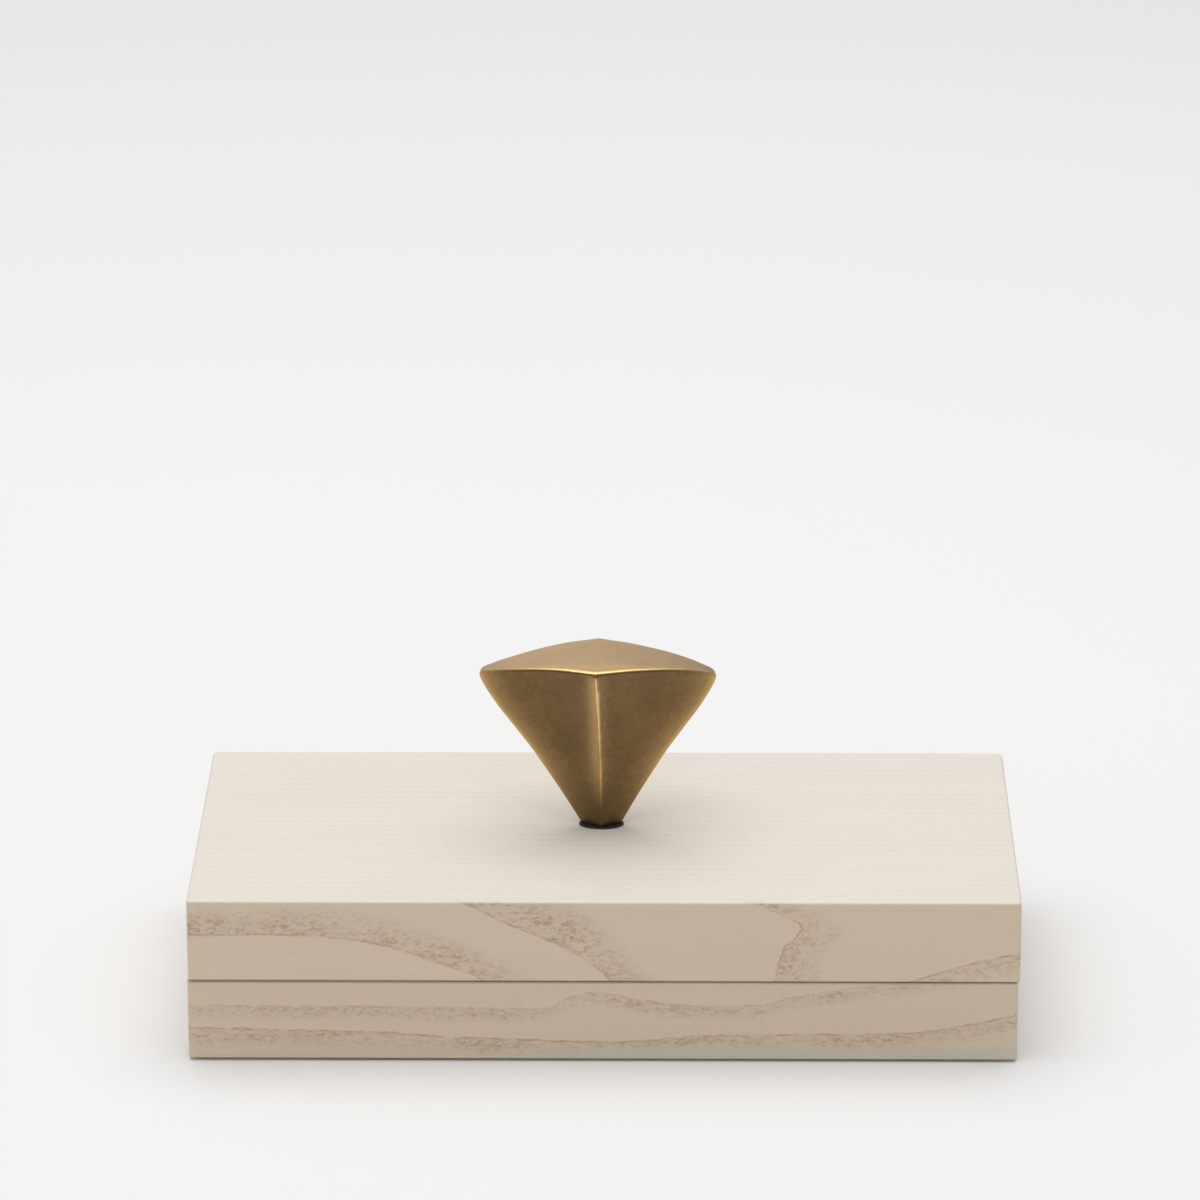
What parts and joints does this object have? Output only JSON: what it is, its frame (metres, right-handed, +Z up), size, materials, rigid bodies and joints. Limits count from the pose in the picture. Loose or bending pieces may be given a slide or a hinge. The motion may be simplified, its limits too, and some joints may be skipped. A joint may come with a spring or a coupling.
{
  "type": "watercolour paint box",
  "caption": "Low rectangular wooden box in two equal layers, with a lift-off lid and a tapered kite-shaped brass knob; half pans of paint, a mixing palette and a brush inside.",
  "frame": {"origin": "on the resting surface, under the middle of the closed box", "axes": "+Z up, +X to the right along the box's length, +Y to the back; the picture looks along +Y and down"},
  "size_m": [0.2002, 0.1, 0.086],
  "materials": {
    "limed_ash": "limed ash, matt, solid wood with open grain",
    "fitting_wood": "thin planed strips, clear matt varnish",
    "cork": "thin cork sheet",
    "brass": "aged satin brass",
    "black_fibre": "matt",
    "steel": "zinc plated",
    "black_enamel": "satin black enamel on thin sheet",
    "pan_white": "moulded, semi-gloss",
    "white_glaze": "white glaze",
    "handle_lacquer": "dark red-brown lacquer",
    "hair": "fine brown hair",
    "paint_lemon_yellow": "dried watercolour paint",
    "paint_warm_yellow": "dried watercolour paint",
    "paint_orange": "dried watercolour paint",
    "paint_scarlet": "dried watercolour paint",
    "paint_crimson": "dried watercolour paint",
    "paint_violet": "dried watercolour paint",
    "paint_deep_blue": "dried watercolour paint",
    "paint_sky_blue": "dried watercolour paint",
    "paint_blue_green": "dried watercolour paint",
    "paint_leaf_green": "dried watercolour paint",
    "paint_yellow_ochre": "dried watercolour paint",
    "paint_burnt_umber": "dried watercolour paint"
  },
  "bodies": {
    "base": {"base_tray": "limed_ash", "base_pad": "cork", "liner_front": "fitting_wood", "liner_back": "fitting_wood", "liner_left": "fitting_wood", "liner_right": "fitting_wood", "brush_divider": "fitting_wood", "rib_left": "fitting_wood", "rib_right": "fitting_wood", "brush_rest_left": "fitting_wood", "brush_rest_right": "fitting_wood"},
    "lid": {"lid": "limed_ash", "knob": "brass", "knob_washer": "black_fibre", "knob_screw": "steel", "screw_washer": "steel"},
    "pan_tray": {"pan_tray": "black_enamel", "half_pan_01": "pan_white", "half_pan_02": "pan_white", "half_pan_03": "pan_white", "half_pan_04": "pan_white", "half_pan_05": "pan_white", "half_pan_06": "pan_white", "half_pan_07": "pan_white", "half_pan_08": "pan_white", "half_pan_09": "pan_white", "half_pan_10": "pan_white", "half_pan_11": "pan_white", "half_pan_12": "pan_white", "paint_lemon_yellow": "paint_lemon_yellow", "paint_warm_yellow": "paint_warm_yellow", "paint_orange": "paint_orange", "paint_scarlet": "paint_scarlet", "paint_crimson": "paint_crimson", "paint_violet": "paint_violet", "paint_deep_blue": "paint_deep_blue", "paint_sky_blue": "paint_sky_blue", "paint_blue_green": "paint_blue_green", "paint_leaf_green": "paint_leaf_green", "paint_yellow_ochre": "paint_yellow_ochre", "paint_burnt_umber": "paint_burnt_umber"},
    "palette": {"mixing_palette": "white_glaze"},
    "brush": {"brush_handle": "handle_lacquer", "brush_ferrule": "brass", "brush_hair": "hair"}
  },
  "joints": [
    {"name": "lid_lift", "type": "slide", "parent": "base", "child": "lid", "axis": [0, 0, 1], "range_m": [0, 0.12]},
    {"name": "pan_tray_lift", "type": "slide", "parent": "base", "child": "pan_tray", "axis": [0, 0, 1], "range_m": [0, 0.018]},
    {"name": "palette_lift", "type": "slide", "parent": "base", "child": "palette", "axis": [0, 0, 1], "range_m": [0, 0.018]},
    {"name": "brush_lift", "type": "slide", "parent": "base", "child": "brush", "axis": [0, 0, 1], "range_m": [0, 0.017]}
  ]
}
